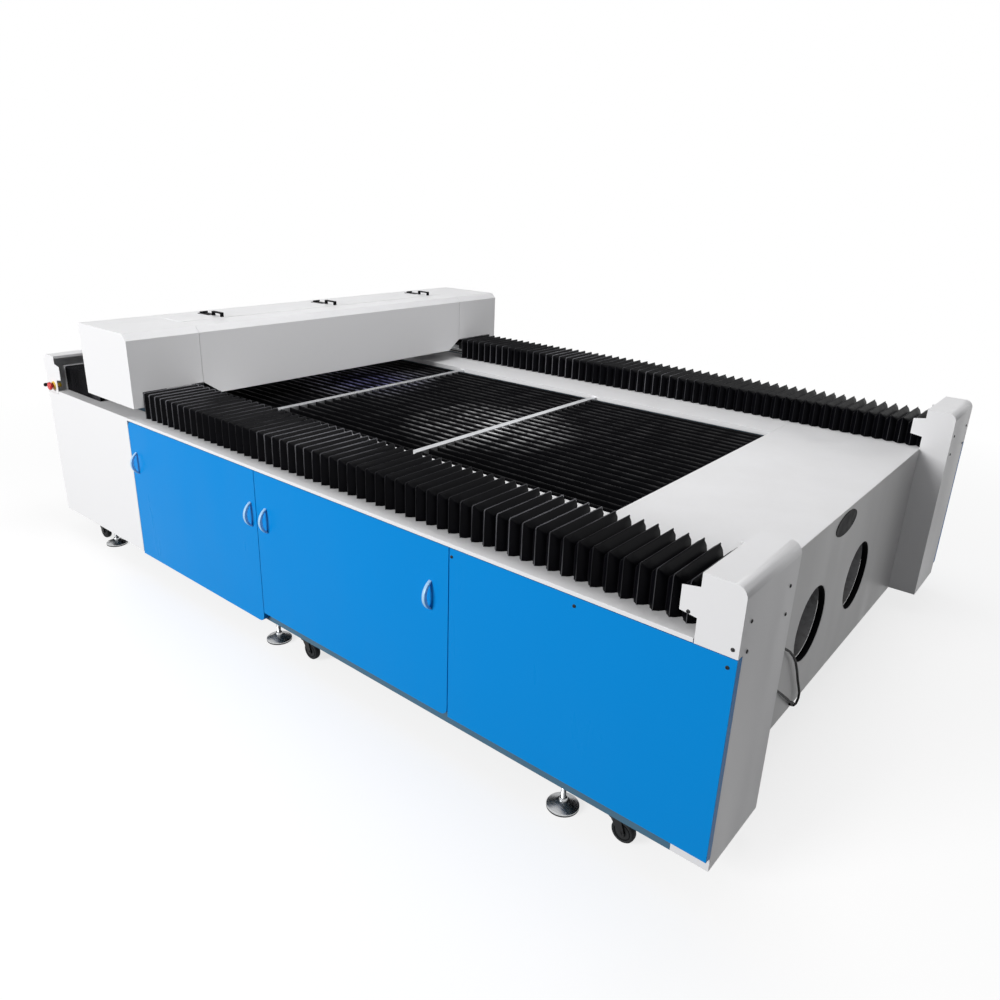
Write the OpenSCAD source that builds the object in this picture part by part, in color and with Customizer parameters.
// Flatbed gantry laser cutting machine with a carbon dioxide laser tube carried on the gantry.
// Origin: on the floor, midway between the corner towers. +X runs along the bed towards the
// exhaust end, +Z is up, and the side with the two lift-off doors faces -Y.

/* [Overall] */
// Length over the corner towers
machine_l = 3484; // [3380:1:3700]
// Width over the side panels
machine_w = 2340; // [2330:1:2500]
// Height of the deck above the floor
deck_z = 722; // [700:1:800]
// Clearance between the floor and the lower rails
ground_gap = 90; // [88:1:110]

/* [Frame] */
// Height of the lower rails
rail_h = 50; // [45:1:60]
// Width of the lower rails, posts and cross tubes
rail_w = 60; // [50:1:70]
// Wall of the frame's tubes
tube_wall = 4; // [3:0.5:6]
// Width of the two long beams that carry the guide rails
guide_beam_w = 200; // [190:1:220]
// Height of the long beams
guide_beam_h = 60; // [50:1:80]
// Width of the inner tubes beside the bed
bed_rail_w = 40; // [30:1:60]
// Distance of the inner tubes from the edge of the bed opening
bed_rail_gap = 10; // [8:1:20]
// Root gap between one frame tube and the next
weld_gap = 0.3; // [0.2:0.1:0.6]

/* [Sheet metal] */
// Thickness of covers and panels
sheet_t = 2; // [1.5:0.5:3]
// Thickness of the deck plates
deck_t = 3; // [2:0.5:5]
// Depth of the panels' folded edges
panel_d = 25; // [18:1:30]
// Gap at the seams between panels
seam_gap = 3; // [2:0.5:5]
// Drop from the deck to the top edge of the panels
panel_drop = 14; // [12:1:24]
// Height of lower rail left showing beneath the panels
rail_reveal = 46; // [30:1:50]
// Depth of the folded lips around the bed opening
lip_h = 22; // [12:1:30]

/* [Side panels] */
// Seam between the white cover and the first door
seam_1 = -978; // [-1100:1:-900]
// Seam between the two doors
seam_2 = -68; // [-120:1:0]
// Seam between the second door and the fixed panel
seam_3 = 881; // [800:1:1000]
// Corner radius of the doors
door_r = 28; // [10:1:50]
// Length of a door handle
handle_l = 98; // [80:1:140]
// Reach of a door handle
handle_reach = 32; // [28:1:40]
// Width of a door handle
handle_w = 12; // [10:1:20]
// Height of the door handles above the floor
handle_z = 532; // [300:1:620]
// Distance of a handle from its door's edge
handle_inset = 48; // [30:1:90]
// Height of the white side panels above the underside of the frame
white_panel_lift = 12; // [6:1:20]

/* [Corner towers] */
// Extent of a tower along the bed
tower_d = 106; // [100:1:120]
// Extent of a tower across the bed
tower_w = 322; // [300:1:330]
// Height of a tower above the deck
tower_rise = 166; // [150:1:200]
// Radius of a tower's outer top corner
tower_r = 30; // [10:1:40]
// Height of the closed brow over a tower's inner opening
tower_brow = 12; // [8:1:30]
// Width of the sheet that frames the bellows in a tower
bellows_flange = 4; // [2:1:8]
// Distance of the end screws from a tower's sides
end_screw_in = 46; // [30:1:80]
// Height of the upper screws above the deck
screw_up = 67; // [50:1:90]
// Reach of the tongues over the end of the bellows
tongue_l = 45; // [30:1:60]

/* [Bed] */
// Length of deck between the bed opening and the exhaust end panel
deck_front_l = 541; // [515:1:576]
// Length of deck behind the bed opening
deck_back_l = 231; // [200:1:260]
// Width of the bed opening
bed_w = 1300; // [1200:1:1360]
// Pitch of the knife slats
slat_pitch = 50; // [40:1:80]
// Thickness of a knife slat
slat_t = 2.5; // [2:0.5:4]
// Height of a knife slat
slat_h = 48; // [40:1:52]
// Depth of the slats' top edges below the deck
slat_drop = 10; // [4:1:14]
// Width of a cross beam
cross_w = 30; // [20:1:50]
// Wall of a cross beam
cross_wall = 3; // [2:0.5:4]
// Height of the middle cross beams above the slats
cross_rise = 1; // [0.5:0.5:4]
// Position of the middle cross beam nearest the gantry's rest place
cross_x = 186; // [100:1:260]
// Spacing of the middle cross beams
cross_pitch = 886; // [820:1:900]
// Depth of the end cross beams below the slats' top edges
end_beam_drop = 34; // [28:1:40]
// Side clearance of a slat in its slot
slot_play = 0.3; // [0.2:0.1:0.6]
// Width of the hopper's floor
hopper_floor_w = 840; // [780:1:1000]
// Height of the hopper's floor
hopper_z = 240; // [200:1:245]
// Height of the hopper's sloping sides
hopper_slope_h = 320; // [250:1:380]

/* [Exhaust] */
// Inner radius of an exhaust collar
port_r = 130; // [100:1:135]
// Depth of an exhaust collar
collar_d = 20; // [15:1:40]
// Wall of an exhaust collar
collar_t = 5; // [3:1:8]
// Height of the exhaust ports' centres
port_z = 379; // [376:1:420]
// Middle of the two exhaust ports
port_mid_y = -28; // [-60:1:60]
// Distance between the exhaust ports' centres
port_pitch = 477; // [400:1:520]
// Radial gap between a duct and its collar
duct_play = 0.3; // [0.2:0.1:1]
// Width of the blank oval plate
oval_w = 208; // [160:1:240]
// Height of the blank oval plate
oval_h = 80; // [60:1:90]
// Depth of the oval plate's middle below the deck
oval_drop = 51; // [48:1:60]
// Distance from the middle of the two ports to the middle of the oval plate
oval_shift = 35; // [20:1:60]

/* [Bellows] */
// Number of folds in each bellows
folds = 57; // [30:1:57]
// Depth of a fold
fold_d = 25; // [15:1:27]
// Width of the bellows
bellows_w = 256; // [252:1:260]
// Height of the bellows above the deck
bellows_h = 114; // [110:1:130]
// Width of the flat strip outside the bellows
strip_w = 46; // [42:1:50]
// Width of that strip hidden under the bellows
strip_tuck = 58; // [40:1:60]
// Width of deck hidden under the bellows
deck_tuck = 92; // [60:1:100]
// Cloth thickness, measured across the bellows
cloth_t = 2; // [1.5:0.5:4]
// The same for the closely folded bellows behind the gantry
cloth_folded_t = 5; // [3:0.5:6]
// Clearance between the bellows and the deck
bellows_play = 1; // [0.5:0.5:2]

/* [Gantry drive] */
// Distance from the outer face of the bellows to the guide rails
guide_inset = 117; // [110:1:124]
// Distance from the guide rails to the drive belts
belt_to_guide = 52; // [50:1:56]
// Width of the linear guide rails
guide_w = 20; // [15:1:25]
// Height of the linear guide rails
guide_h = 18; // [15:1:22]
// Height of the bar beneath each guide rail
guide_bar_h = 26; // [20:1:30]
// Height of a guide rail's bearing blocks
bearing_h = 30; // [26:1:34]
// Running gap between a bearing block and its rail
bearing_play = 0.3; // [0.2:0.1:0.5]
// Thickness of the carriage plates and motor shelves
plate_t = 8; // [6:1:12]
// Radius of the belt inside its pulleys
belt_r = 30; // [26:1:32]
// Thickness of the belts
belt_t = 2; // [1:0.5:3]
// Width of the long belts
belt_w = 20; // [15:1:22]
// Width of a gantry motor
motor_w = 86; // [80:1:88]
// Length of a gantry motor
motor_l = 90; // [70:1:100]

/* [Gantry] */
// Extent of the gantry along the bed
gantry_d = 412; // [400:1:440]
// Where the gantry stands along the bed
gantry_x = -1108; // [-1160:1:-1100]
// Height of the gantry's top above the deck
gantry_rise = 361; // [355:1:400]
// Width of the gantry's end covers
end_cover_w = 328; // [327:1:340]
// Height of the centre cover's lower edge above the deck
cover_gap = 58; // [50:1:70]
// Height of the end covers' legs above the deck
leg_gap = 51; // [20:1:60]
// Chamfer along the gantry's upper edge
cover_chamfer = 27; // [15:1:35]
// Length of the sloped corners of the centre cover
corner_run = 85; // [40:1:120]
// Height of the gap above the bellows
bellows_gap = 2; // [1:0.5:5]
// Height of the skirt behind the cutting head, above its lower edge
skirt_h = 153; // [120:1:160]
// Extent of the gantry beam along the bed
beam_d = 160; // [150:1:170]
// Height of the gantry beam
beam_h = 100; // [90:1:105]
// Height of the beam's underside above the deck
beam_gap = 128; // [124:1:132]

/* [Laser tube] */
// Radius of the laser tube
tube_r = 40; // [30:1:42]
// Length of the laser tube
tube_l = 1440; // [1200:1:1460]
// Length of the tube's narrow ends
tube_neck = 50; // [30:1:80]
// Distance of the tube's mounts from its ends
mount_inset = 290; // [200:1:400]
// Height of the laser beam above the gantry beam
ray_h = 60; // [56:1:62]
// Width of the hatch over the laser tube
hatch_w = 165; // [158:1:172]
// Distance of the first hinge from the cover's front seam
hinge_first = 220; // [100:1:300]
// Offset of the middle hinge from the cover's middle
hinge_mid = 47; // [-60:1:60]
// Distance of the last hinge from the cover's back seam
hinge_last = 98; // [60:1:200]
// Radius of a hinge knuckle
knuckle_r = 4; // [3.5:0.5:5]
// Length of a hinge knuckle
knuckle_l = 13; // [8:1:16]
// Radius of a hinge pin
hinge_pin_r = 2; // [1.5:0.1:2.5]
// Length of a hinge's strap
strap_l = 70; // [40:1:74]
// Width of a hinge's strap
strap_w = 40; // [36:1:50]
// Length of a pull on the hatch
pull_l = 78; // [60:1:80]
// Width of a pull
pull_w = 15; // [10:1:20]
// Height of a pull
pull_h = 20; // [18:1:30]
// Radial clearance of pins and shafts in their bores
pin_play = 0.05; // [0.02:0.01:0.08]

/* [Cutting head] */
// Position of the head across the bed
head_y = 0; // [-600:1:600]
// Radius of the lens tube
lens_r = 14; // [10:0.5:15]
// Height of the nozzle's tip above the deck
nozzle_gap = 6; // [5:1:20]
// Width of the rail along the beam
y_guide_w = 15; // [12:1:20]
// Thickness of the rail along the beam
y_guide_t = 15; // [12:1:16]
// Radius of the head belt's pulleys
y_pulley_r = 12; // [8:1:14]
// Distance of the head belt's pulleys from the cover's seams
y_pulley_inset = 37; // [22:1:42]

/* [Feet and casters] */
// Distance of the feet and casters from the side panels' face
foot_inset = 55; // [50:1:60]
// Distance of the outer feet from the frame's exhaust end
foot_front = 348; // [300:1:400]
// Position of the middle feet
foot_mid = -60; // [-200:1:60]
// Distance of the outer feet from the frame's other end
foot_back = 267; // [240:1:300]
// Distance of the outer casters from the frame's exhaust end
caster_front = 173; // [150:1:200]
// Position of the middle casters
caster_mid = 122; // [60:1:200]
// Distance of the outer casters from the frame's other end
caster_back = 141; // [130:1:160]
// Radius of a foot pad
pad_r = 48; // [35:1:52]
// Radius of a foot's stud
stud_r = 8; // [6:0.5:10]
// Radius of a caster wheel
wheel_r = 35; // [28:1:36]
// Width of a caster wheel
wheel_w = 24; // [18:1:26]
// Clearance between the raised casters and the floor
wheel_lift = 4; // [2:1:8]
// Trail of a caster wheel behind its stem
trail = 25; // [15:1:28]
// Radius of a caster stem
stem_r = 6; // [5:0.5:8]

/* [Switches] */
// Radius of the stop button
stop_r = 19; // [15:1:20]
// Radius of the key switch
key_r = 12; // [8:1:13]
// Height of the switches above the deck
switch_h = 22; // [20:1:60]
// Diameter of the cable at the exhaust end
cable_d = 8; // [6:0.5:9]

/* [Hidden] */
$fn = 48;

half_l = machine_l / 2;
half_w = machine_w / 2;
frame_x = half_l - tower_d;
frame_y = half_w - panel_d;
deck_under = deck_z - deck_t;
beam_z0 = deck_under - guide_beam_h;
rail_top = ground_gap + rail_h;
beam_in_y = frame_y - guide_beam_w;
tower_top = deck_z + tower_rise;
tower_in_y = half_w - tower_w;
tower_cx = half_l - tower_d / 2;
panel_top = deck_z - panel_drop;
panel_bottom = ground_gap + rail_reveal;
lip_bottom = panel_top + 2;
posts_x = [-frame_x + rail_w / 2, seam_1, seam_2, seam_3, frame_x - rail_w / 2];

bed_x0 = -frame_x + deck_back_l;
bed_x1 = frame_x - deck_front_l;
slat_top = deck_z - slat_drop;
slat_bottom = slat_top - slat_h;
cross_top = slat_top + cross_rise;
halving_z = (slat_bottom + cross_top) / 2;
end_beam_top = slat_top - end_beam_drop;
end_halving_z = (slat_bottom + end_beam_top) / 2;
slot_w = slat_t + 2 * slot_play;
middle_xs = [cross_x, cross_x - cross_pitch];
end_xs = [bed_x0 + cross_w / 2, bed_x1 - cross_w / 2];
slat_n = floor((bed_w / 2 - slat_pitch / 2) / slat_pitch);
bed_rail_y = bed_w / 2 + bed_rail_gap;

bellows_out = half_w - strip_w;
bellows_in = bellows_out - bellows_w;
bellows_top = deck_z + bellows_h;
guide_y = bellows_out - guide_inset;
guide_top = deck_under + guide_bar_h + guide_h;
bearing_z0 = guide_top - guide_h + 4;
carriage_z = bearing_z0 + bearing_h;
shelf_top = deck_under + plate_t;
shelf_in_y = guide_y - 40;
shelf_out_y = guide_y + 65;
belt_z = shelf_top + motor_w / 2;
belt_y = guide_y - belt_to_guide;
pulley_gap = 0.3;

gantry_top = deck_z + gantry_rise;
cover_y = half_w - end_cover_w;
cover_bottom = deck_z + cover_gap;
leg_bottom = deck_z + leg_gap;
notch_z = bellows_top + bellows_gap;
beam_setback = 133;
beam_x0 = -beam_setback;
beam_x1 = beam_x0 + beam_d;
beam_bottom = deck_z + beam_gap;
beam_top = beam_bottom + beam_h;
ray_z = beam_top + ray_h;
tube_x = beam_x0 + beam_d / 2;
beam_end_y = frame_y - 85;
y_guide_z = beam_bottom + beam_h / 2;
y_belt_z = beam_top + 35;
y_belt_reach = 15;
y_belt_x = beam_x0 - y_belt_reach;
y_belt_w = 10;
y_belt_t = 1.5;
y_shaft_r = 4;
y_motor_w = 56;
y_belt_l = 2 * (cover_y - y_pulley_inset);
y_guide_l = y_belt_l - 130;
rib_x1 = gantry_d / 2 - sheet_t;
lens_reach = 51;
lens_x = beam_x0 - lens_reach;
head_plate_reach = 35;
plate_x = beam_x0 - head_plate_reach;
mirror_y = -y_belt_l / 2 + 60;
tube_y0 = mirror_y + 55;
hatch_x0 = tube_x - 58.5;
hatch_x1 = hatch_x0 + hatch_w;
hatch_y = cover_y - 6;
hinge_z = gantry_top + sheet_t + 2.5 + knuckle_r;
hinge_ys = [-cover_y + hinge_first, hinge_mid, cover_y - hinge_last];

foot_y = half_w - foot_inset;
feet_x = [frame_x - foot_front, foot_mid, -frame_x + foot_back];
casters_x = [frame_x - caster_front, caster_mid, -frame_x + caster_back];
fork_top = ground_gap - 0.3;
axle_z = wheel_lift + wheel_r;
axle_r = 4;
switch_z = deck_z + switch_h;
stop_x = -tower_cx + 15;
key_x = -tower_cx - 28;
barrel_d = 30;

// Route of the cable from the tower's inner corner at floor level: out of one gland, down to the
// clip at the end panel's edge, and back up
cable_steps = [
    [28, 21, 520], [28, 48, 520], [27, 98, 511], [26, 158, 492], [24, 228, 461], [21, 289, 428],
    [19, 361, 382], [17, 411, 343], [16, 453, 300], [15, 491, 248], [14, 523, 197], [14, 551, 155],
    [14, 567, 128], [14, 567, 108], [14, 551, 96], [14, 531, 100], [14, 503, 121], [14, 458, 156],
    [16, 414, 190], [18, 358, 232], [20, 295, 278], [22, 228, 324], [24, 158, 363], [27, 98, 388],
    [28, 48, 400], [28, 21, 400]];
cable_route = [for (step = cable_steps) [frame_x, -tower_in_y, 0] + step];

module block(lo, hi) {
    translate(lo) cube(hi - lo);
}

module tube_along_x(lo, hi, wall) {
    difference() {
        block(lo, hi);
        block([lo[0] - 1, lo[1] + wall, lo[2] + wall], [hi[0] + 1, hi[1] - wall, hi[2] - wall]);
    }
}

module tube_along_y(lo, hi, wall) {
    difference() {
        block(lo, hi);
        block([lo[0] + wall, lo[1] - 1, lo[2] + wall], [hi[0] - wall, hi[1] + 1, hi[2] - wall]);
    }
}

module tube_along_z(lo, hi, wall) {
    difference() {
        block(lo, hi);
        block([lo[0] + wall, lo[1] + wall, lo[2] - 1], [hi[0] - wall, hi[1] - wall, hi[2] + 1]);
    }
}

module both_sides() {
    children();
    mirror([0, 1, 0]) children();
}

module both_ends() {
    children();
    mirror([1, 0, 0]) children();
}

module rod_x(x0, x1, y, z, r) {
    translate([x0, y, z]) rotate([0, 90, 0]) cylinder(h = x1 - x0, r = r);
}

module rod_y(x, y0, y1, z, r) {
    translate([x, y1, z]) rotate([90, 0, 0]) cylinder(h = y1 - y0, r = r);
}

module rod_z(x, y, z0, z1, r) {
    translate([x, y, z0]) cylinder(h = z1 - z0, r = r);
}

// An outline in X and Z, made solid from y0 to y1
module extrude_y(y0, y1) {
    translate([0, y1, 0]) rotate([90, 0, 0]) linear_extrude(y1 - y0) children();
}

// An outline in Y and Z, made solid from x0 to x1
module extrude_x(x0, x1) {
    translate([x0, 0, 0]) rotate([90, 0, 90]) linear_extrude(x1 - x0) children();
}

// A rectangle whose corners have their own radii, in the order
// low left, low right, top right, top left
module corner_rect(lo, hi, radii = [0, 0, 0, 0]) {
    corners = [[lo[0], lo[1], 1, 1], [hi[0], lo[1], -1, 1], [hi[0], hi[1], -1, -1], [lo[0], hi[1], 1, -1]];
    difference() {
        translate(lo) square(hi - lo);
        for (i = [0:3])
            if (radii[i] > 0)
                translate([corners[i][0], corners[i][1]]) scale([corners[i][2], corners[i][3]])
                    difference() {
                        translate([-1, -1]) square(radii[i] + 1);
                        translate([radii[i], radii[i]]) circle(radii[i]);
                    }
    }
}

// A folded sheet panel on the -Y side, from x0 to x1 and from z0 to z1
module panel(x0, x1, z0, z1, radii = [0, 0, 0, 0]) {
    inner = [for (r = radii) max(r - sheet_t, 0)];
    difference() {
        extrude_y(-half_w, -frame_y) corner_rect([x0, z0], [x1, z1], radii);
        extrude_y(-half_w + sheet_t, -frame_y + 1)
            corner_rect([x0 + sheet_t, z0 + sheet_t], [x1 - sheet_t, z1 - sheet_t], inner);
    }
}

// ---- Frame ----

module lower_rail() {
    mid = frame_y - rail_w / 2;
    difference() {
        union() {
            tube_along_x([-frame_x, frame_y - rail_w, ground_gap], [frame_x, frame_y, rail_top], tube_wall);
            for (x = feet_x) rod_z(x, foot_y, ground_gap, rail_top, stud_r + 8);
            for (x = casters_x) rod_z(x, foot_y, ground_gap, rail_top, stem_r + 6);
        }
        for (x = feet_x) rod_z(x, foot_y, ground_gap - 1, rail_top + 1, stud_r + pin_play);
        for (x = casters_x) rod_z(x, foot_y, ground_gap - 1, rail_top - tube_wall, stem_r + pin_play);
    }
}

// Shelf on the end of a guide beam, for a motor or an idler
module shelf() {
    block([frame_x + weld_gap, shelf_in_y, beam_z0 + 1],
        [frame_x + weld_gap + plate_t, shelf_out_y, shelf_top]);
    block([frame_x + weld_gap, shelf_in_y, deck_under], [half_l - 10, shelf_out_y, shelf_top]);
}

module welded_frame() {
    color("dimgray") {
        both_sides() {
            lower_rail();
            tube_along_x([-frame_x, beam_in_y, beam_z0], [frame_x, frame_y, deck_under], tube_wall);
            for (x = posts_x)
                tube_along_z([x - rail_w / 2, frame_y - rail_w, rail_top + weld_gap],
                    [x + rail_w / 2, frame_y, beam_z0 - weld_gap], tube_wall);
            tube_along_x([-frame_x + rail_w + weld_gap, bed_rail_y, beam_z0],
                [frame_x - rail_w - weld_gap, bed_rail_y + bed_rail_w, deck_under], tube_wall);
            shelf();
            mirror([1, 0, 0]) union() {
                shelf();
                block([tower_cx - 20, belt_y + belt_w / 2 + 5, shelf_top - 1],
                    [tower_cx + 20, belt_y + belt_w / 2 + 13, belt_z + 20]);
                rod_y(tower_cx, belt_y - belt_w / 2 - 2, belt_y + belt_w / 2 + 6, belt_z, 8);
            }
        }
        for (x = posts_x)
            tube_along_y([x - rail_w / 2, -frame_y + rail_w + weld_gap, ground_gap],
                [x + rail_w / 2, frame_y - rail_w - weld_gap, rail_top], tube_wall);
        for (x = [posts_x[0], posts_x[4]])
            tube_along_y([x - rail_w / 2, -beam_in_y + weld_gap, beam_z0],
                [x + rail_w / 2, beam_in_y - weld_gap, deck_under], tube_wall);
    }
}

module levelling_feet() {
    color("darkslategray")
        both_sides() for (x = feet_x) translate([x, foot_y, 0]) {
            cylinder(h = 10, r = pad_r);
            translate([0, 0, 10]) cylinder(h = 14, r1 = pad_r, r2 = stud_r + 8);
            cylinder(h = rail_top + 4, r = stud_r);
            translate([0, 0, ground_gap - 12]) cylinder(h = 12, r = stud_r + 6, $fn = 6);
        }
}

// ---- Casters ----

module caster_fork(x, side) {
    color("black") translate([x, side * foot_y, 0]) {
        rod_z(0, 0, fork_top - 8, fork_top, 26);
        rod_z(0, 0, fork_top - 1, rail_top - tube_wall - 3, stem_r);
        for (s = [-1, 1])
            extrude_y(s * (wheel_w / 2 + 3.5) - 1.5, s * (wheel_w / 2 + 3.5) + 1.5)
                polygon([[-18, fork_top - 4], [20, fork_top - 4], [trail + 10, axle_z],
                    [trail + 7, axle_z - 9], [trail - 7, axle_z - 9], [trail - 10, axle_z]]);
        rod_y(trail, -wheel_w / 2 - 7, wheel_w / 2 + 7, axle_z, axle_r);
    }
}

module caster_wheel(x, side) {
    color("dimgray") translate([x, side * foot_y, 0]) difference() {
        union() {
            rod_y(trail, -wheel_w / 2, wheel_w / 2, axle_z, wheel_r);
            rod_y(trail, -wheel_w / 2 - 1.5, wheel_w / 2 + 1.5, axle_z, axle_r + 5);
        }
        rod_y(trail, -wheel_w, wheel_w, axle_z, axle_r + pin_play);
    }
}

// ---- Deck, bed and exhaust ----

module deck_plates() {
    deck_y = bellows_in + deck_tuck;
    lip_z = deck_z - lip_h;
    color("white") {
        block([bed_x1, -deck_y, deck_under], [frame_x, deck_y, deck_z]);
        block([bed_x1, -bed_w / 2, lip_z], [bed_x1 + deck_t, bed_w / 2, deck_z]);
        block([-frame_x, -deck_y, deck_under], [bed_x0, deck_y, deck_z]);
        block([bed_x0 - deck_t, -bed_w / 2, lip_z], [bed_x0, bed_w / 2, deck_z]);
        both_sides() {
            block([bed_x0 + 0.5, bed_w / 2, deck_under], [bed_x1 - 0.5, deck_y, deck_z]);
            block([bed_x0 + 0.5, bed_w / 2, lip_z], [bed_x1 - 0.5, bed_w / 2 + deck_t, deck_z]);
        }
    }
}

// Middle beams lie over the slats, in slots cut from below
module middle_beam(x, y_end) {
    difference() {
        tube_along_y([x - cross_w / 2, -y_end, beam_z0], [x + cross_w / 2, y_end, cross_top], cross_wall);
        for (i = [-slat_n:slat_n])
            block([x - cross_w, i * slat_pitch - slot_w / 2, beam_z0 - 1],
                [x + cross_w, i * slat_pitch + slot_w / 2, halving_z]);
        both_sides() block([x - cross_w, -y_end - 1, deck_z - lip_h - 1],
            [x + cross_w, -bed_w / 2 + 1, cross_top + 1]);
    }
}

// End beams carry the ends of the slats, in slots cut from above
module end_beam(x, y_end) {
    difference() {
        tube_along_y([x - cross_w / 2, -y_end, beam_z0], [x + cross_w / 2, y_end, end_beam_top], cross_wall);
        for (i = [-slat_n:slat_n])
            block([x - cross_w, i * slat_pitch - slot_w / 2, end_halving_z],
                [x + cross_w, i * slat_pitch + slot_w / 2, end_beam_top + 1]);
    }
}

module bed_cross_beams() {
    y_end = bed_rail_y - weld_gap;
    color("gainsboro") {
        for (x = middle_xs) middle_beam(x, y_end);
        for (x = end_xs) end_beam(x, y_end);
    }
}

module knife_slats() {
    notch_x = cross_w / 2 + slot_play;
    color("dimgray")
        for (i = [-slat_n:slat_n]) difference() {
            block([bed_x0 + 1, i * slat_pitch - slat_t / 2, slat_bottom],
                [bed_x1 - 1, i * slat_pitch + slat_t / 2, slat_top]);
            for (x = middle_xs)
                block([x - notch_x, i * slat_pitch - slat_t, halving_z],
                    [x + notch_x, i * slat_pitch + slat_t, slat_top + 1]);
            for (x = end_xs)
                block([x - notch_x, i * slat_pitch - slat_t, slat_bottom - 1],
                    [x + notch_x, i * slat_pitch + slat_t, end_halving_z]);
        }
}

module hopper_section(inset, top) {
    floor_y = hopper_floor_w / 2 - inset;
    wall_y = bed_w / 2 - 14 - inset;
    knee_z = hopper_z + hopper_slope_h;
    polygon([[-floor_y, hopper_z + inset], [floor_y, hopper_z + inset], [wall_y, knee_z],
        [wall_y, top], [-wall_y, top], [-wall_y, knee_z]]);
}

port_ys = [port_mid_y - port_pitch / 2, port_mid_y + port_pitch / 2];
duct_r = port_r - duct_play;

// Trough that catches what falls through the slats, with the two ducts that draw its air
module chip_hopper() {
    x0 = bed_x0 + 15;
    x1 = bed_x1 - 5;
    flange_z = beam_z0 - weld_gap;
    color("silver") difference() {
        union() {
            extrude_x(x0, x1) hopper_section(0, flange_z);
            block([x0, -bed_rail_y - bed_rail_w, flange_z - sheet_t],
                [x1, bed_rail_y + bed_rail_w, flange_z]);
            for (y = port_ys) rod_x(x1 - sheet_t, frame_x - collar_d, y, port_z, duct_r);
        }
        extrude_x(x0 + sheet_t, x1 - sheet_t) hopper_section(sheet_t, beam_z0 + 1);
        for (y = port_ys) rod_x(x1 - 2 * sheet_t, frame_x, y, port_z, duct_r - sheet_t);
    }
}

module exhaust_collars() {
    color("black") for (y = port_ys) difference() {
        union() {
            rod_x(frame_x - collar_d, frame_x, y, port_z, port_r + collar_t);
            rod_x(frame_x - sheet_t, frame_x, y, port_z, port_r + 4 * collar_t);
        }
        rod_x(frame_x - collar_d - 1, frame_x + 1, y, port_z, port_r);
    }
}

module end_panels() {
    color("gainsboro") difference() {
        both_ends()
            block([frame_x, -tower_in_y + 1, ground_gap], [frame_x + sheet_t, tower_in_y - 1, deck_z]);
        for (y = port_ys) rod_x(frame_x - 1, frame_x + 5, y, port_z, port_r);
    }
}

module blank_oval_plate() {
    color("black") translate([frame_x + sheet_t, port_mid_y - oval_shift, deck_z - oval_drop])
        rotate([90, 0, 90]) linear_extrude(sheet_t) scale([oval_w / oval_h, 1]) circle(d = oval_h);
}

// ---- Corner towers and panels ----

module tower_outline(inset) {
    r = tower_r - inset;
    corner_rect([frame_x + inset, ground_gap + inset], [half_l - inset, tower_top - inset], [0, 0, r, 0]);
}

module tongue(y) {
    tip = [-55, 8];
    root = [-62, 16];
    extrude_y(y, y + sheet_t)
        polygon([[frame_x - tongue_l, bellows_top + tip[0]], [frame_x + 1, bellows_top + root[0]],
            [frame_x + 1, bellows_top + root[1]], [frame_x - tongue_l, bellows_top + tip[1]]]);
}

module tower() {
    difference() {
        union() {
            extrude_y(tower_in_y, frame_y) tower_outline(0);
            intersection() {
                extrude_y(frame_y - 1, half_w) tower_outline(0);
                block([frame_x, tower_in_y, lip_bottom], [half_l, half_w, tower_top]);
            }
            tongue(tower_in_y);
            tongue(half_w - sheet_t);
        }
        extrude_y(tower_in_y + sheet_t, frame_y - sheet_t) tower_outline(sheet_t);
        intersection() {
            extrude_y(tower_in_y + sheet_t, half_w - sheet_t) tower_outline(sheet_t);
            block([frame_x, tower_in_y, lip_bottom + sheet_t], [half_l, half_w, tower_top]);
        }
        block([frame_x - 1, tower_in_y + sheet_t, ground_gap + sheet_t],
            [frame_x + 5, frame_y - sheet_t, deck_under - 2]);
        block([frame_x - 1, bellows_in + sheet_t, deck_under - 3],
            [frame_x + 5, bellows_out - sheet_t, bellows_top - sheet_t]);
        difference() {
            block([frame_x - 1, tower_in_y + sheet_t, deck_z + 1],
                [frame_x + 5, half_w - sheet_t, tower_top - tower_brow]);
            block([frame_x - 2, tower_in_y, deck_z],
                [frame_x + 6, bellows_out + bellows_flange, bellows_top + bellows_flange]);
        }
    }
}

module corner_towers() {
    color("whitesmoke") {
        both_sides() tower();
        mirror([1, 0, 0]) {
            tower();
            difference() {
                mirror([0, 1, 0]) tower();
                rod_y(-stop_x, -half_w - 1, -half_w + 3, switch_z, 11 + pin_play);
                rod_y(-key_x, -half_w - 1, -half_w + 3, switch_z, 8 + pin_play);
            }
        }
    }
}

module front_fixed_panel() {
    color("dodgerblue") panel(seam_3 + seam_gap / 2, half_l, panel_bottom, panel_top);
}

module back_side_panels() {
    color("dodgerblue") mirror([0, 1, 0]) {
        panel(seam_1 + seam_gap / 2, seam_2 - seam_gap / 2, panel_bottom, panel_top);
        panel(seam_2 + seam_gap / 2, seam_3 - seam_gap / 2, panel_bottom, panel_top);
        panel(seam_3 + seam_gap / 2, half_l, panel_bottom, panel_top);
    }
}

module white_side_covers() {
    strip_x = frame_x - 2;
    color("white") both_sides() {
        block([-strip_x, -half_w, deck_under], [strip_x, -bellows_out + strip_tuck, deck_z]);
        block([-strip_x, -half_w, lip_bottom], [strip_x, -half_w + sheet_t, deck_z]);
        panel(-half_l, seam_1 - seam_gap / 2, ground_gap + white_panel_lift, panel_top);
        block([-strip_x, -half_w, panel_top - 1], [seam_1 - seam_gap / 2, -half_w + sheet_t, deck_z]);
    }
}

module screw_head() {
    cylinder(h = 2.5, r1 = 5, r2 = 3.5);
}

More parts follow.
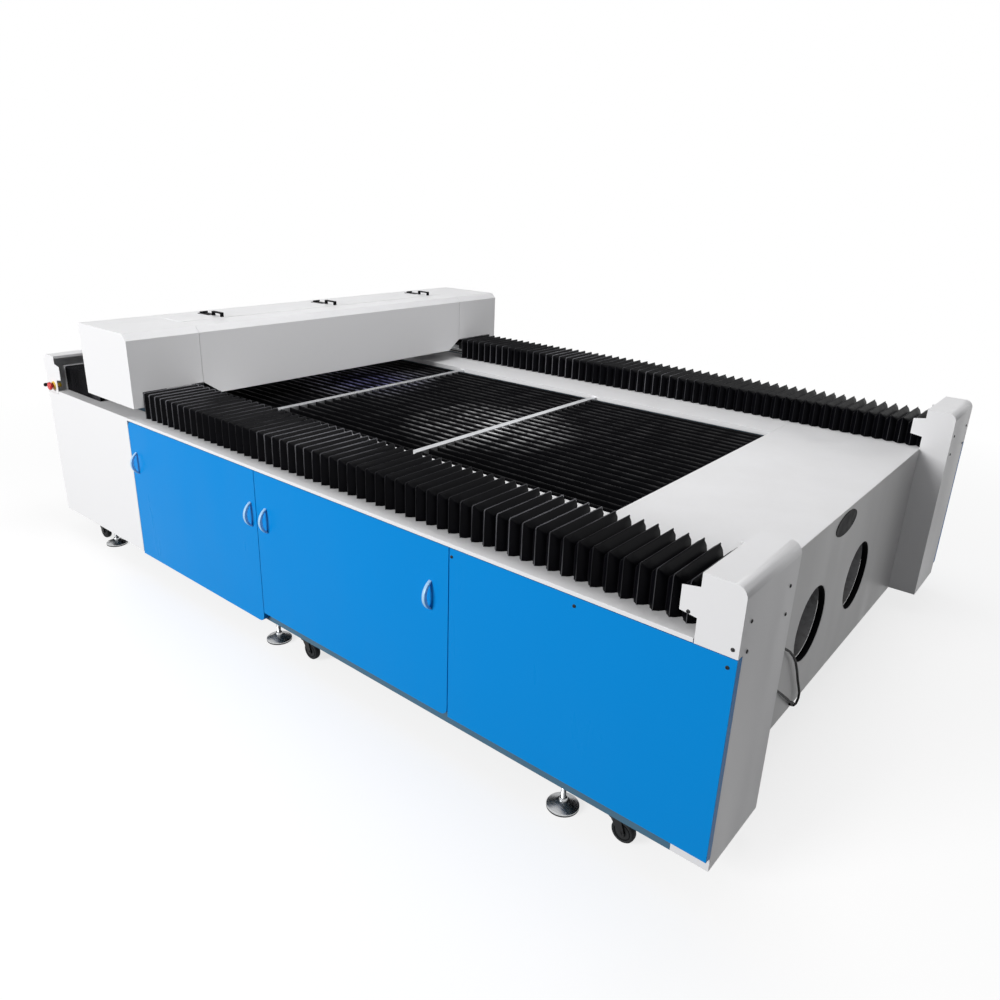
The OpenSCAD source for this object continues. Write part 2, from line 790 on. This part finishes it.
module cover_screws() {
    color("gray") {
        both_ends() both_sides()
            for (y = [half_w - end_screw_in, tower_in_y + end_screw_in], z = [-10, screw_up])
                translate([half_l, y, deck_z + z]) rotate([0, 90, 0]) screw_head();
        both_sides() for (p = [[frame_x - tongue_l / 2, deck_z + screw_up - 6], [half_l - 15, deck_z + 9]])
            translate([p[0], half_w, p[1]]) rotate([-90, 0, 0]) screw_head();
        both_sides() for (x = [seam_3 + 11, (seam_3 + half_l) / 2, half_l - 21])
            translate([x, half_w, panel_top - 25]) rotate([-90, 0, 0]) screw_head();
    }
}

module left_door() {
    corners = [0, door_r, 0, door_r];
    color("dodgerblue")
        panel(seam_1 + seam_gap / 2, seam_2 - seam_gap / 2, ground_gap + 4, panel_top, corners);
}

module right_door() {
    color("dodgerblue")
        panel(seam_2 + seam_gap / 2, seam_3 - seam_gap / 2, panel_bottom, panel_top, [0, door_r, 0, 0]);
}

// A crescent handle on the -Y side
module handle(x) {
    outer_r = (pow(handle_l / 2, 2) + pow(handle_reach, 2)) / (2 * handle_reach);
    grip = handle_reach - 12;
    inner_half = handle_l / 2 - 6;
    inner_r = (pow(inner_half, 2) + pow(grip, 2)) / (2 * grip);
    intersection() {
        difference() {
            rod_x(x - handle_w / 2, x + handle_w / 2, -half_w - handle_reach + outer_r, handle_z, outer_r);
            rod_x(x - handle_w, x + handle_w, -half_w - grip + inner_r, handle_z, inner_r);
        }
        block([x - handle_w, -half_w - 100, handle_z - 100], [x + handle_w, -half_w, handle_z + 100]);
    }
}

module left_door_handles() {
    color("white") {
        handle(seam_1 + handle_inset);
        handle(seam_2 - handle_inset + 15);
    }
}

module right_door_handles() {
    color("white") {
        handle(seam_2 + handle_inset + 12);
        handle(seam_3 - handle_inset - 25);
    }
}

// ---- Switches and cable ----

module switch_bases() {
    color("gold") difference() {
        union() {
            rod_y(stop_x, -half_w - 6, -half_w, switch_z, stop_r + 1);
            rod_y(stop_x, -half_w - 1, -half_w + barrel_d, switch_z, 11);
        }
        rod_y(stop_x, -half_w - 7, -half_w + barrel_d + 1, switch_z, 7 + pin_play);
    }
    color("dimgray") difference() {
        union() {
            rod_y(key_x, -half_w - 4, -half_w, switch_z, key_r);
            rod_y(key_x, -half_w - 1, -half_w + barrel_d, switch_z, 8);
        }
        rod_y(key_x, -half_w - 5, -half_w + barrel_d + 1, switch_z, 5 + pin_play);
    }
}

module stop_button() {
    color("red") {
        rod_y(stop_x, -half_w - 17, -half_w + barrel_d - 8, switch_z, 7);
        rod_y(stop_x, -half_w - 26, -half_w - 12, switch_z, stop_r - 3);
        rod_y(stop_x, -half_w - 23, -half_w - 15, switch_z, stop_r);
    }
}

module key_switch() {
    color("black") {
        rod_y(key_x, -half_w - 8, -half_w + barrel_d - 4, switch_z, 5);
        rod_y(key_x, -half_w - 12, -half_w - 4.3, switch_z, key_r - 3);
        block([key_x - 1.5, -half_w - 30, switch_z - 9], [key_x + 1.5, -half_w - 11, switch_z + 9]);
    }
}

function unit(v) = v / norm(v);
function tangent(p, i) = unit(p[min(i + 1, len(p) - 1)] - p[max(i - 1, 0)]);
function ring(p, i, r, n) = let(t = tangent(p, i), u = unit(cross(t, [1, 0, 0])), w = cross(t, u))
    [for (k = [0:n - 1]) p[i] + r * (cos(360 * k / n) * u + sin(360 * k / n) * w)];

// A round rod swept along a list of points
module swept(p, r, n = 10) {
    last = len(p) - 1;
    points = [for (i = [0:last]) each ring(p, i, r, n)];
    sides = [for (i = [0:last - 1], k = [0:n - 1])
        [i * n + k, i * n + (k + 1) % n, (i + 1) * n + (k + 1) % n, (i + 1) * n + k]];
    polyhedron(points, concat(sides, [[for (k = [n - 1:-1:0]) k]], [[for (k = [0:n - 1]) last * n + k]]));
}

module cable_loop() {
    color("black") swept(cable_route, cable_d / 2);
}

module gland(p) {
    difference() {
        union() {
            rod_y(p[0], -tower_in_y, p[1] + 7, p[2], cable_d / 2 + 4);
            translate([p[0], -tower_in_y, p[2]]) rotate([-90, 0, 0])
                cylinder(h = 8, r = cable_d / 2 + 8, $fn = 6);
        }
        rod_y(p[0], p[1], p[1] + 40, p[2], cable_d / 2 + 0.3);
    }
}

// The clip that holds the lowest point of the cable to the end panel
module cable_clip(p, along) {
    r = cable_d / 2 + 3;
    translate(p) difference() {
        union() {
            rotate([atan2(-along[1], along[2]), 0, 0]) cylinder(h = 8, r = r, center = true);
            block([frame_x + sheet_t - p[0], -6, -6], [0, 6, 6]);
        }
        rotate([atan2(-along[1], along[2]), 0, 0]) cylinder(h = 30, r = cable_d / 2 + 0.8, center = true);
    }
}

module cable_glands() {
    clip_0 = cable_route[15];
    clip_1 = cable_route[16];
    color("black") {
        gland(cable_route[0]);
        gland(cable_route[len(cable_route) - 1]);
        cable_clip((clip_0 + clip_1) / 2, clip_1 - clip_0);
    }
}

// ---- Gantry drive ----

module x_guide_rails() {
    bar_w = guide_w + 24;
    color("silver") both_sides() {
        block([-frame_x + 36, guide_y - bar_w / 2, deck_under],
            [frame_x - 36, guide_y + bar_w / 2, deck_under + guide_bar_h]);
        block([-frame_x + 36, guide_y - guide_w / 2, deck_under + guide_bar_h - 1],
            [frame_x - 36, guide_y + guide_w / 2, guide_top]);
    }
}

module belt_outline(r) {
    square([2 * tower_cx, 2 * r], center = true);
    for (s = [-1, 1]) translate([s * tower_cx, 0]) circle(r);
}

module x_belts() {
    color("black") both_sides() translate([0, 0, belt_z])
        extrude_y(belt_y - belt_w / 2, belt_y + belt_w / 2) difference() {
            belt_outline(belt_r + belt_t);
            belt_outline(belt_r);
        }
}

module x_motors() {
    y0 = belt_y + belt_w / 2 + 10;
    color("black") both_sides() difference() {
        block([tower_cx - motor_w / 2, y0, belt_z - motor_w / 2],
            [tower_cx + motor_w / 2, y0 + motor_l, belt_z + motor_w / 2]);
        rod_y(tower_cx, y0 - 1, y0 + 16, belt_z, 7 + pin_play);
    }
}

module x_pulley(x) {
    rod_y(x, belt_y - belt_w / 2, belt_y + belt_w / 2, belt_z, belt_r - pulley_gap);
    for (y = [belt_y - belt_w / 2 - 2.3, belt_y + belt_w / 2 + 0.3])
        rod_y(x, y, y + 2, belt_z, belt_r + 4);
    rod_y(x, belt_y - belt_w / 2 - 2, belt_y + belt_w / 2 + 2, belt_z, 12);
}

module x_drive_pulleys() {
    color("silver") both_sides() {
        x_pulley(tower_cx);
        rod_y(tower_cx, belt_y, belt_y + belt_w / 2 + 22, belt_z, 7);
    }
}

module x_idler_pulleys() {
    color("silver") both_sides() difference() {
        x_pulley(-tower_cx);
        rod_y(-tower_cx, belt_y - belt_w, belt_y + belt_w, belt_z, 8 + pin_play);
    }
}

function fold_ring(x, d, t) = let(y0 = bellows_in + d, y1 = bellows_out - 0.5 - d,
        z0 = deck_z + bellows_play, z1 = bellows_top - d)
    [[x, y1, z0], [x, y1, z1], [x, y0, z1], [x, y0, z0],
     [x, y0 + t, z0], [x, y0 + t, z1 - t], [x, y1 - t, z1 - t], [x, y1 - t, z0]];

// One bellows from x0 to x1, an inverted trough of folded cloth
module bellows(x0, x1, t) {
    rings = 2 * folds + 1;
    points = [for (k = [0:rings - 1])
        each fold_ring(x0 + (x1 - x0) * k / (rings - 1), k % 2 == 0 ? 0 : fold_d, t)];
    sides = [for (k = [0:rings - 2], i = [0:7])
        [k * 8 + i, k * 8 + (i + 1) % 8, (k + 1) * 8 + (i + 1) % 8, (k + 1) * 8 + i]];
    last = 8 * (rings - 1);
    polyhedron(points, concat(sides, [[7, 6, 5, 4, 3, 2, 1, 0]], [[for (i = [0:7]) last + i]]));
}

module left_bellows() {
    color("black") both_sides() bellows(-frame_x, gantry_x - gantry_d / 2, cloth_folded_t);
}

module right_bellows() {
    color("black") both_sides() bellows(gantry_x + gantry_d / 2, frame_x, cloth_t);
}

// ---- Gantry, in its own frame: x = 0 is the middle of the gantry ----

module on_gantry() {
    translate([gantry_x, 0, 0]) children();
}

module cover_outline(inset, front_z, back_z) {
    x = gantry_d / 2 - inset;
    top = gantry_top - inset;
    c = cover_chamfer - inset * 0.6;
    polygon([[x, front_z], [x, top - c], [x - c, top], [-x, top], [-x, back_z]]);
}

module gantry_cover() {
    back_z = cover_bottom + skirt_h;
    x = gantry_d / 2;
    color("whitesmoke") on_gantry() difference() {
        extrude_y(-cover_y, cover_y) difference() {
            cover_outline(0, cover_bottom, back_z);
            cover_outline(sheet_t, cover_bottom - 1, back_z - 1);
            polygon([[-x - 1, back_z], [x - sheet_t, cover_bottom - 1], [x - sheet_t, back_z]]);
        }
        both_sides() extrude_x(0, x + 1)
            polygon([[cover_y + 1, cover_bottom - 1], [cover_y - corner_run, cover_bottom - 1],
                [cover_y - corner_run, cover_bottom], [cover_y, notch_z], [cover_y + 1, notch_z]]);
        block([hatch_x0 + 6, -hatch_y + 6, gantry_top - 10], [hatch_x1 - 6, hatch_y - 6, gantry_top + 1]);
    }
}

module gantry_end_covers() {
    x = gantry_d / 2;
    color("whitesmoke") on_gantry() both_sides() difference() {
        extrude_y(cover_y + 0.5, half_w) cover_outline(0, leg_bottom, leg_bottom);
        block([-x - 1, cover_y, leg_bottom - 1], [x + 1, bellows_out, notch_z]);
        extrude_y(cover_y, half_w - sheet_t) cover_outline(sheet_t, notch_z + sheet_t, notch_z + sheet_t);
        block([-x + sheet_t, bellows_out + sheet_t, leg_bottom + sheet_t],
            [x - sheet_t, half_w - sheet_t, notch_z + sheet_t + 1]);
        block([beam_x0 - 20, guide_y - 80, notch_z - 1], [beam_x1 + 20, guide_y + 70, notch_z + sheet_t + 1]);
    }
}

module gantry_beam() {
    color("silver") on_gantry() {
        tube_along_y([beam_x0, -beam_end_y, beam_bottom], [beam_x1, beam_end_y, beam_top], 6);
        translate([0, y_belt_l / 2, 0]) {
            block([y_belt_x + 7, -20, beam_top - 1], [beam_x0 + 5, 20, y_belt_z + 20]);
            rod_x(y_belt_x - 6, y_belt_x + 8, 0, y_belt_z, y_shaft_r);
        }
        translate([0, -y_belt_l / 2, 0])
            block([beam_x0 + 1, -y_motor_w / 2, beam_top - 1],
                [beam_x0 + 56, y_motor_w / 2, y_belt_z - y_motor_w / 2 - 0.3]);
        for (y = [-cover_y + 70, -260, 260, cover_y - 70])
            extrude_y(y - sheet_t / 2, y + sheet_t / 2)
                polygon([[beam_x1 - 1, beam_bottom + 10], [beam_x1 + 20, beam_bottom + 10],
                    [rib_x1, beam_top], [rib_x1, gantry_top - sheet_t - cover_chamfer],
                    [hatch_x1 + 65, gantry_top - sheet_t], [hatch_x1 + 15, gantry_top - sheet_t],
                    [beam_x1 + 20, beam_top + 40], [beam_x1 - 1, beam_top - 1]]);
    }
}

module end_carriages() {
    y0 = belt_y - belt_w / 2;
    y1 = guide_y + 57;
    x = gantry_d / 2;
    bearing_x = 132;
    bearing_l = 90;
    bearing_w = 64;
    clamp_l = 60;
    color("dimgray") on_gantry() both_sides() difference() {
        union() {
            block([-x + 2, y0, carriage_z], [x - 2, y1, carriage_z + plate_t + 2]);
            for (bx = [-bearing_x, bearing_x])
                block([bx - bearing_l / 2, guide_y - bearing_w / 2, bearing_z0],
                    [bx + bearing_l / 2, guide_y + bearing_w / 2, carriage_z + 1]);
            block([beam_x0, belt_y + belt_w / 2 + 4, carriage_z + 1], [beam_x1, guide_y + 52, beam_bottom]);
            block([-clamp_l / 2, y0, carriage_z + 1],
                [clamp_l / 2, y0 + 15, belt_z + belt_r - 0.3]);
            for (s = [-1, 1]) translate([s * (x - 1.5), 0, 0])
                block([-1.5, bellows_in + 1, guide_top + 5], [1.5, bellows_out - 1, bellows_top - 1]);
        }
        block([-x - 1, guide_y - guide_w / 2 - bearing_play, bearing_z0 - 1],
            [x + 1, guide_y + guide_w / 2 + bearing_play, guide_top + bearing_play]);
        for (s = [-1, 1]) translate([s * (x - 1.5), 0, 0])
            block([-3, belt_y - belt_w / 2 - 3, belt_z + belt_r - 3],
                [3, belt_y + belt_w / 2 + 3, belt_z + belt_r + belt_t + 3]);
    }
}

module y_guide_rail() {
    z0 = y_guide_z - y_guide_w / 2;
    color("silver") on_gantry()
        block([beam_x0 - y_guide_t, -y_guide_l / 2, z0], [beam_x0, y_guide_l / 2, z0 + y_guide_w]);
}

module laser_tube() {
    y1 = tube_y0 + tube_l;
    color("lightblue") on_gantry() {
        rod_y(tube_x, tube_y0 + tube_neck, y1 - tube_neck, ray_z, tube_r);
        rod_y(tube_x, tube_y0, y1, ray_z, tube_r * 0.6);
    }
}

module tube_mounts() {
    mount_ys = [tube_y0 + mount_inset, tube_y0 + tube_l - mount_inset];
    color("silver") on_gantry() for (y = mount_ys) difference() {
        union() {
            block([tube_x - tube_r - 12, y - 15, beam_top], [tube_x + tube_r + 12, y + 15, ray_z]);
            rod_y(tube_x, y - 15, y + 15, ray_z, tube_r + 6);
        }
        rod_y(tube_x, y - 20, y + 20, ray_z, tube_r + 0.3);
    }
}

module beam_mirrors() {
    half = 18;
    color("goldenrod") on_gantry() translate([0, mirror_y, 0]) {
        for (side = [0, 1]) translate([side == 0 ? tube_x : lens_x, 0, 0]) mirror([side, 0, 0])
            difference() {
                block([-half, -half, beam_top], [half, half, ray_z + 20]);
                translate([0, 0, ray_z - 16]) rotate([0, 0, -45])
                    translate([-2 * half, 0, 0]) cube([4 * half, 2 * half, 60]);
            }
        block([lens_x - half, -half, beam_top], [tube_x, half, beam_top + 8]);
    }
}

module y_belt_outline(r) {
    square([y_belt_l, 2 * r], center = true);
    for (s = [-1, 1]) translate([s * y_belt_l / 2, 0]) circle(r);
}

module y_belt() {
    color("black") on_gantry() translate([0, 0, y_belt_z])
        extrude_x(y_belt_x - y_belt_w / 2, y_belt_x + y_belt_w / 2) difference() {
            y_belt_outline(y_pulley_r + y_belt_t);
            y_belt_outline(y_pulley_r);
        }
}

module y_motor() {
    half = y_motor_w / 2;
    y = -y_belt_l / 2;
    color("black") on_gantry() difference() {
        block([beam_x0 - 4, y - half, y_belt_z - half], [beam_x0 + 66, y + half, y_belt_z + half]);
        rod_x(beam_x0 - 5, beam_x0 + 12, y, y_belt_z, y_shaft_r + pin_play);
    }
}

module y_pulley(y) {
    x0 = y_belt_x - y_belt_w / 2;
    x1 = y_belt_x + y_belt_w / 2;
    rod_x(x0 - 0.5, x1 + 0.5, y, y_belt_z, y_pulley_r - pulley_gap);
    rod_x(x0 - 1.8, x0 - 0.3, y, y_belt_z, y_pulley_r + 3);
    rod_x(x1 + 0.3, x1 + 1.8, y, y_belt_z, y_pulley_r + 3);
}

module y_drive_pulley() {
    color("silver") on_gantry() {
        y_pulley(-y_belt_l / 2);
        rod_x(y_belt_x, beam_x0 + 10, -y_belt_l / 2, y_belt_z, y_shaft_r);
    }
}

module y_idler_pulley() {
    color("silver") on_gantry() difference() {
        y_pulley(y_belt_l / 2);
        rod_x(y_belt_x - 20, y_belt_x + 20, y_belt_l / 2, y_belt_z, y_shaft_r + pin_play);
    }
}

module tube_hatch() {
    color("whitesmoke") on_gantry()
        block([hatch_x0 + 0.5, -hatch_y, gantry_top], [hatch_x1, hatch_y, gantry_top + sheet_t]);
}

// A strap hinge's moving half and a bow pull, at each place on the hatch
module hatch_fittings() {
    z0 = gantry_top + sheet_t;
    pull_x0 = hatch_x1 - 8 - pull_l;
    color("black") on_gantry() for (y = hinge_ys) {
        difference() {
            union() {
                block([hatch_x0 + 0.5, y - strap_w / 2, z0], [hatch_x0 + strap_l, y + strap_w / 2, z0 + 2]);
                block([hatch_x0, y - knuckle_l / 2, z0], [hatch_x0 + knuckle_r, y + knuckle_l / 2, hinge_z]);
                rod_y(hatch_x0, y - knuckle_l / 2, y + knuckle_l / 2, hinge_z, knuckle_r);
            }
            rod_y(hatch_x0, y - knuckle_l, y + knuckle_l, hinge_z, hinge_pin_r + pin_play);
        }
        difference() {
            block([pull_x0, y - pull_w / 2, z0], [pull_x0 + pull_l, y + pull_w / 2, z0 + pull_h]);
            block([pull_x0 + 8, y - pull_w, z0 - 1], [pull_x0 + pull_l - 8, y + pull_w, z0 + pull_h - 6]);
        }
    }
}

module hatch_hinges() {
    color("black") on_gantry() for (y = hinge_ys) {
        block([hatch_x0 - 22, y - strap_w / 2, gantry_top],
            [hatch_x0 - 0.5, y + strap_w / 2, gantry_top + 3]);
        for (s = [-1, 1]) translate([hatch_x0, y + s * (knuckle_l + 0.3), 0]) {
            block([-knuckle_r, -knuckle_l / 2, gantry_top + 1], [-0.5, knuckle_l / 2, hinge_z]);
            rod_y(0, -knuckle_l / 2, knuckle_l / 2, hinge_z, knuckle_r);
        }
        rod_y(hatch_x0, y - knuckle_l, y + knuckle_l, hinge_z, hinge_pin_r);
    }
}

// ---- Cutting head ----

module on_head() {
    translate([gantry_x, head_y, 0]) children();
}

module head_carriage() {
    clamp_z = beam_bottom - 40;
    block_top = y_guide_z + 20;
    color("silver") on_head() difference() {
        union() {
            block([plate_x, -45, clamp_z], [plate_x + 6, 45, ray_z + 25]);
            block([plate_x + 5, -35, y_guide_z - 20], [beam_x0 - 9, 35, block_top]);
            block([plate_x + 5, -20, y_belt_z - y_pulley_r - y_belt_t - 16],
                [beam_x0 - 9, 20, y_belt_z - y_pulley_r - y_belt_t - 0.3]);
            block([lens_x, -12, clamp_z], [plate_x + 1, 12, clamp_z + 30]);
            rod_z(lens_x, 0, clamp_z, clamp_z + 30, lens_r + 6);
        }
        rod_z(lens_x, 0, clamp_z - 1, clamp_z + 31, lens_r + pin_play);
        block([beam_x0 - y_guide_t - bearing_play, -50, y_guide_z - y_guide_w / 2 - bearing_play],
            [beam_x0, 50, y_guide_z + y_guide_w / 2 + bearing_play]);
    }
}

module head_mirror() {
    color("goldenrod") on_head() extrude_x(lens_x - 18, plate_x)
        polygon([[18, ray_z - 20], [18, ray_z + 20], [-18, ray_z + 20], [-18, ray_z + 14], [12, ray_z - 20]]);
}

module lens_tube() {
    tip = deck_z + nozzle_gap;
    color("silver") on_head() {
        rod_z(lens_x, 0, tip + 30, ray_z - 60, lens_r);
        translate([lens_x, 0, tip]) cylinder(h = 30.5, r1 = 3, r2 = lens_r - 2);
        rod_z(lens_x, 0, tip + 24, tip + 40, lens_r + 2);
    }
}

welded_frame();
deck_plates();
bed_cross_beams();
knife_slats();
chip_hopper();
exhaust_collars();
end_panels();
blank_oval_plate();
corner_towers();
front_fixed_panel();
back_side_panels();
white_side_covers();
cover_screws();
x_guide_rails();
x_belts();
x_motors();
left_bellows();
right_bellows();
levelling_feet();
cable_loop();
cable_glands();
switch_bases();
x_drive_pulleys();
x_idler_pulleys();
stop_button();
key_switch();
left_door();
left_door_handles();
right_door();
right_door_handles();
gantry_beam();
gantry_cover();
gantry_end_covers();
end_carriages();
y_guide_rail();
laser_tube();
tube_mounts();
beam_mirrors();
y_belt();
y_motor();
y_drive_pulley();
y_idler_pulley();
tube_hatch();
hatch_fittings();
hatch_hinges();
head_carriage();
head_mirror();
lens_tube();
caster_fork(casters_x[0], -1);  // caster_fork_1
caster_fork(casters_x[1], -1);  // caster_fork_2
caster_fork(casters_x[2], -1);  // caster_fork_3
caster_fork(casters_x[0], 1);  // caster_fork_4
caster_fork(casters_x[1], 1);  // caster_fork_5
caster_fork(casters_x[2], 1);  // caster_fork_6
caster_wheel(casters_x[0], -1);  // caster_wheel_1
caster_wheel(casters_x[1], -1);  // caster_wheel_2
caster_wheel(casters_x[2], -1);  // caster_wheel_3
caster_wheel(casters_x[0], 1);  // caster_wheel_4
caster_wheel(casters_x[1], 1);  // caster_wheel_5
caster_wheel(casters_x[2], 1);  // caster_wheel_6
